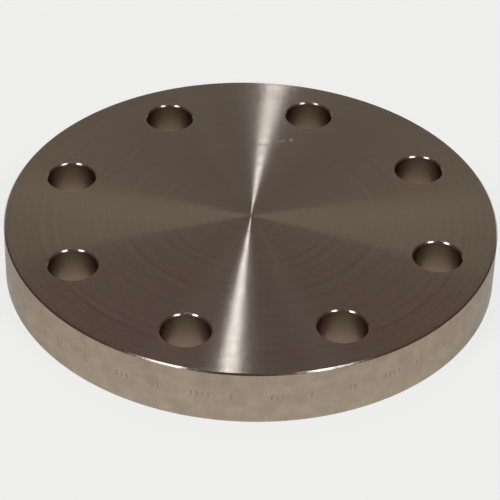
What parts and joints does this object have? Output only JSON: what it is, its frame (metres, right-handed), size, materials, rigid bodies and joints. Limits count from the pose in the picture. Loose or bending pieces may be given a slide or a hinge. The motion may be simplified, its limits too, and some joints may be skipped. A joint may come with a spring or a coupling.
{
  "type": "blind flange",
  "caption": "Flat round steel disc with plain faces and a ring of through bolt holes, bolted to a pipe flange to close off the end of a line.",
  "frame": {"origin": "centre of the lower face, on the disc's axis", "axes": "+Z along the disc's axis, out of the upper face; the bolt holes straddle the X and Y axes"},
  "size_m": [0.185, 0.185, 0.022],
  "materials": {
    "turned_steel": "fine turned, concentric tool marks, satin"
  },
  "bodies": {
    "root": {"flange_disc": "turned_steel"}
  },
  "joints": []
}
